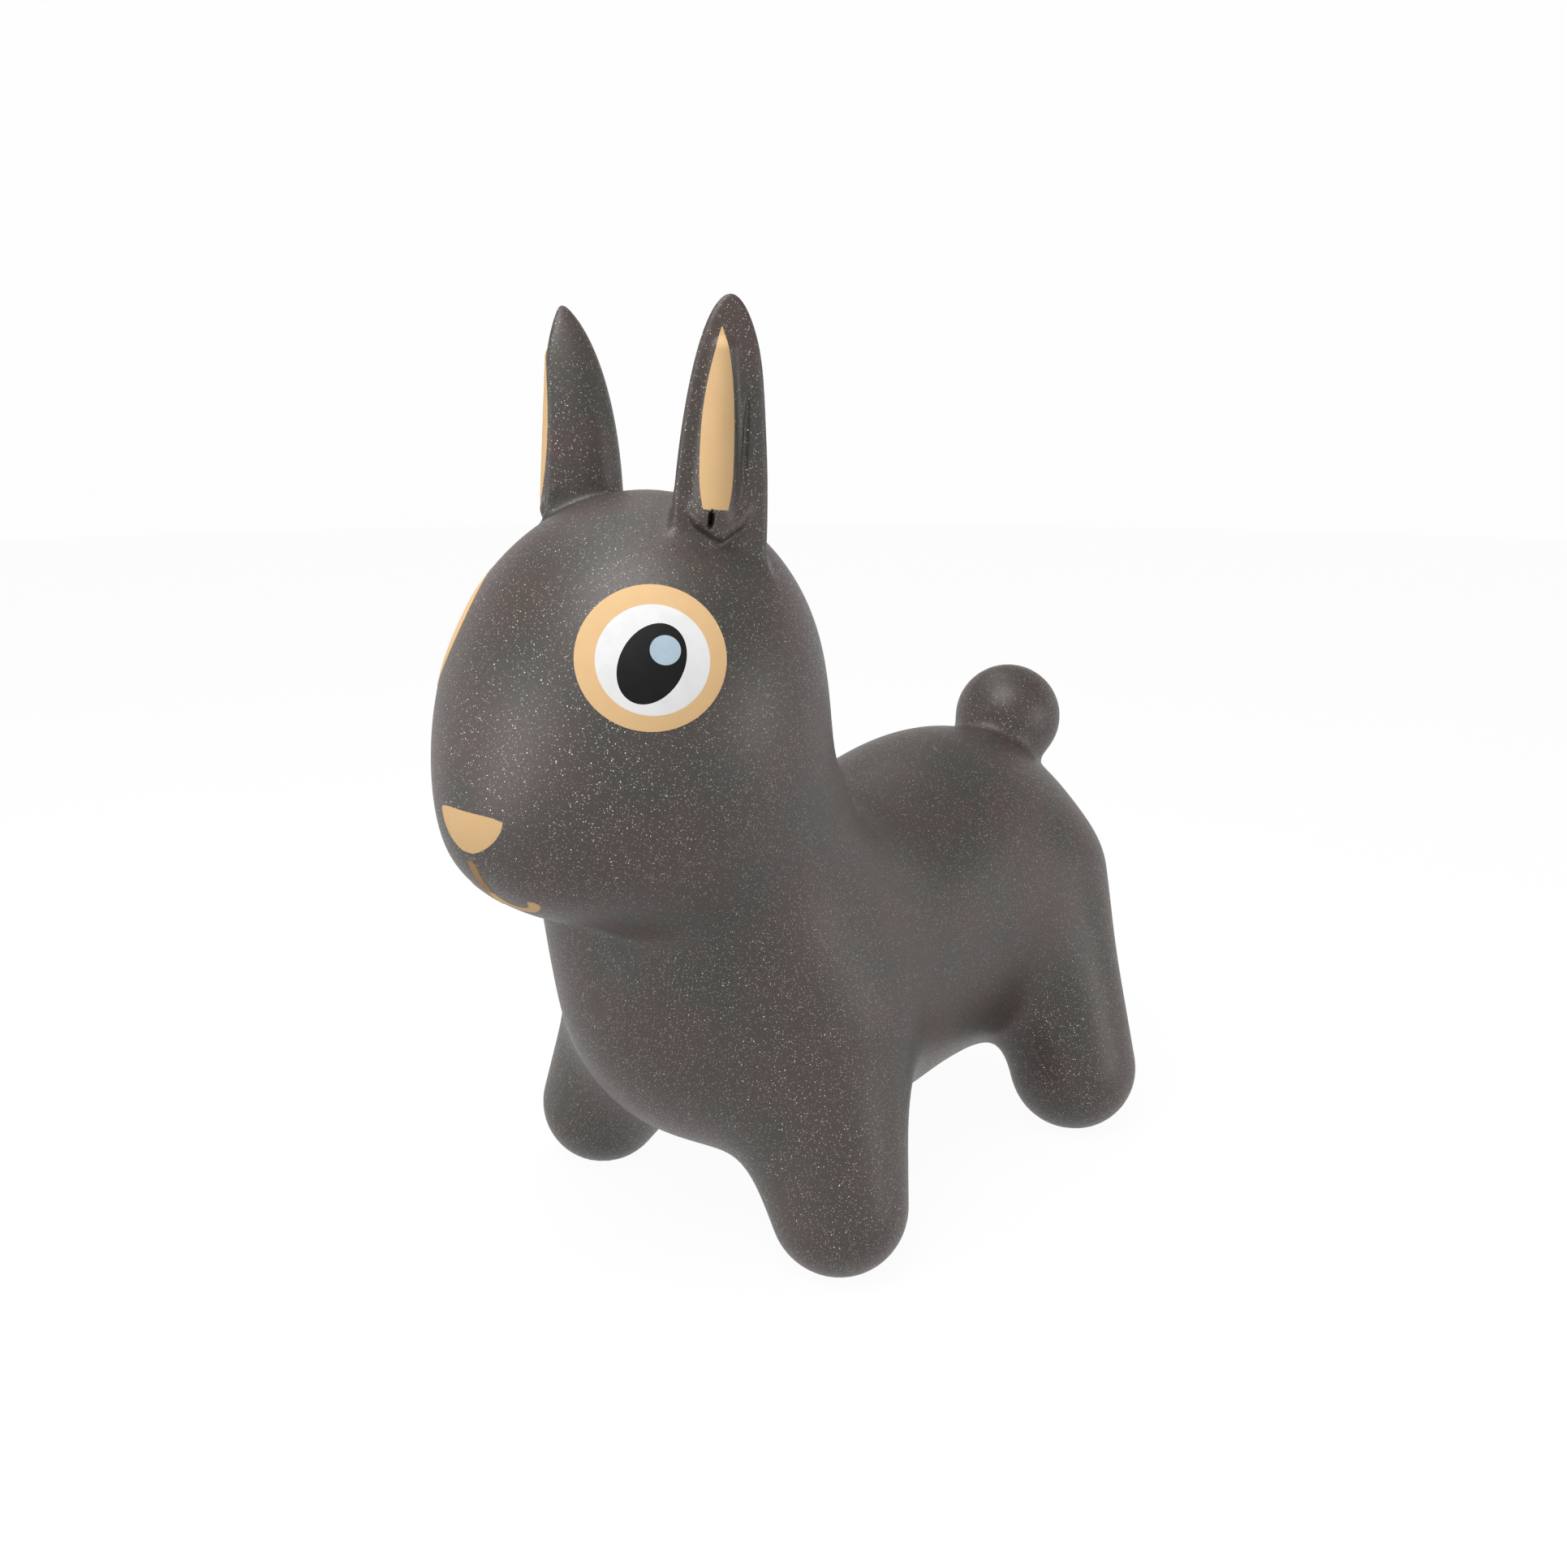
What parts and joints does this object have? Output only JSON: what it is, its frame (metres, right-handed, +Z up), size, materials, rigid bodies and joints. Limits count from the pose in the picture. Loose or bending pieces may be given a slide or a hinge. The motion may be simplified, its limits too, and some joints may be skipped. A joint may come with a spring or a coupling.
{
  "type": "bunny hopper",
  "caption": "Air-filled PVC bunny to sit astride and bounce on: hollow moulded skin, ear grips that bend and spring back, printed face, and a push-in valve plug under the belly.",
  "frame": {"origin": "on the floor under the middle of the toy, at the centre of its box", "axes": "+Z up, +X to the toy's left; it faces -Y"},
  "size_m": [0.2764, 0.4998, 0.5151],
  "materials": {
    "glitter_pvc": "satin, with fine glitter in the skin",
    "plug_pvc": "satin",
    "tan_print": "matte printed film",
    "white_print": "matte printed film",
    "black_print": "matte printed film",
    "blue_print": "matte printed film"
  },
  "bodies": {
    "hopper": {"torso": "glitter_pvc", "head": "glitter_pvc", "front_left_leg": "glitter_pvc", "front_right_leg": "glitter_pvc", "hind_left_leg": "glitter_pvc", "hind_right_leg": "glitter_pvc", "tail": "glitter_pvc", "valve_collar": "glitter_pvc", "left_eye_ring": "tan_print", "right_eye_ring": "tan_print", "left_eye_white": "white_print", "right_eye_white": "white_print", "left_pupil": "black_print", "right_pupil": "black_print", "left_eye_glint": "blue_print", "right_eye_glint": "blue_print", "nose_print": "tan_print", "mouth_print": "tan_print"},
    "left_ear_grip": {"left_ear": "glitter_pvc", "left_ear_print": "tan_print"},
    "right_ear_grip": {"right_ear": "glitter_pvc", "right_ear_print": "tan_print"},
    "plug": {"valve_plug": "plug_pvc"}
  },
  "joints": [
    {"name": "left_ear_bend", "type": "hinge", "parent": "hopper", "child": "left_ear_grip", "pos_m": [0.0485, -0.128, 0.4085], "axis": [0.8613, 0, -0.5082], "range_deg": [-20, 15], "stiffness_Nm_per_rad": 2},
    {"name": "right_ear_bend", "type": "hinge", "parent": "hopper", "child": "right_ear_grip", "pos_m": [-0.0485, -0.128, 0.4085], "axis": [0.8613, 0, 0.5082], "range_deg": [-20, 15], "stiffness_Nm_per_rad": 2},
    {"name": "plug_pull", "type": "slide", "parent": "hopper", "child": "plug", "axis": [0, 0, -1], "range_m": [0, 0.022]}
  ]
}
